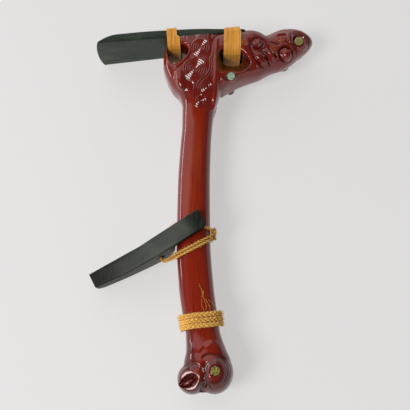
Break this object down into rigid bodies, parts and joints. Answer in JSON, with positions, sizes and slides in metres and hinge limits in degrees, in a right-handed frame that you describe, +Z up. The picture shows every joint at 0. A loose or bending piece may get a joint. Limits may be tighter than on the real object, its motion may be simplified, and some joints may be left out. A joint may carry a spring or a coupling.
{
  "type": "ceremonial adze",
  "caption": "Carved ceremonial adze, lying down: a green stone blade lashed to a lacquered wooden handle with figures, spirals and shell eyes, and a dark stone tied on.",
  "frame": {"origin": "middle of the bounding box on the surface that the adze lies on", "axes": "+Y along the handle from the butt to the blade, +X from the blade's cutting edge to the heel figure, +Z up, square to the level middle plane"},
  "size_m": [0.2454, 0.4009, 0.0536],
  "materials": {
    "lacquered_wood": "deep red-brown gloss lacquer",
    "green_stone": "polished",
    "dark_stone": "satin polish",
    "golden_thread": "wound flat thread with a sheen",
    "golden_cord": "plaited, slightly fuzzy",
    "olive_shell": "polished shell",
    "mint_shell": "polished shell"
  },
  "bodies": {
    "root": {"handle": "lacquered_wood", "blade": "green_stone", "tied_stone": "dark_stone", "front_lashing": "golden_thread", "rear_lashing": "golden_thread", "tie_cord": "golden_cord", "wrap_cord": "golden_cord", "heel_eye_upper": "olive_shell", "heel_eye_lower": "olive_shell", "foot_eye_upper": "mint_shell", "foot_eye_lower": "mint_shell", "butt_eye_upper": "olive_shell", "butt_eye_lower": "olive_shell"}
  },
  "joints": []
}
